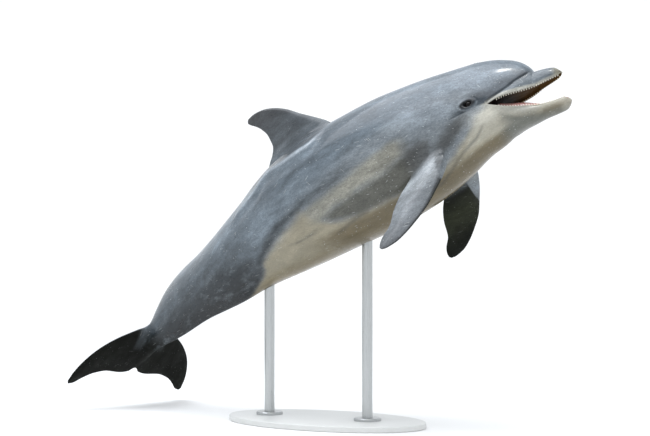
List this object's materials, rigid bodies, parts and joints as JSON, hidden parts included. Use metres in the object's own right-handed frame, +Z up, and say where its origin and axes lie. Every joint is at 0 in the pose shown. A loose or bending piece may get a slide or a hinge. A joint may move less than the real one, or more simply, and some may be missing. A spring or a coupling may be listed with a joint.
{
  "type": "bottlenose dolphin model",
  "caption": "Life-size still model of a leaping bottlenose dolphin, body arched and mouth open, held on a flat oval display stand by two rods.",
  "frame": {"origin": "centre of the bounding box in plan, at the underside of the stand's plate", "axes": "+X the way the dolphin heads and the longest extent, +Y towards its left side, +Z up"},
  "size_m": [2.3595, 0.7743, 1.5198],
  "materials": {
    "cape": "wet, smooth, dark slate-grey skin",
    "flank": "wet, smooth, mid-grey skin",
    "belly": "wet, smooth, pale cream-grey skin",
    "fin": "wet, smooth, very dark grey skin",
    "tongue": "wet pink-grey tongue",
    "eye": "polished dark eye",
    "stand_plate": "satin pale grey paint",
    "stand_steel": "brushed"
  },
  "bodies": {
    "root": {"head": "cape", "upper_jaw": "flank", "lower_jaw": "belly", "neck": "flank", "chest": "belly", "trunk_middle": "flank", "loin": "cape", "tail_stock": "cape", "dorsal_fin": "fin", "flipper_left": "fin", "flipper_right": "fin", "fluke_left": "fin", "fluke_right": "fin", "tongue": "tongue", "eye_left": "eye", "eye_right": "eye", "stand_base": "stand_plate", "stand_foot_front": "stand_steel", "stand_foot_rear": "stand_steel", "stand_rod_front": "stand_steel", "stand_rod_rear": "stand_steel"}
  },
  "joints": []
}
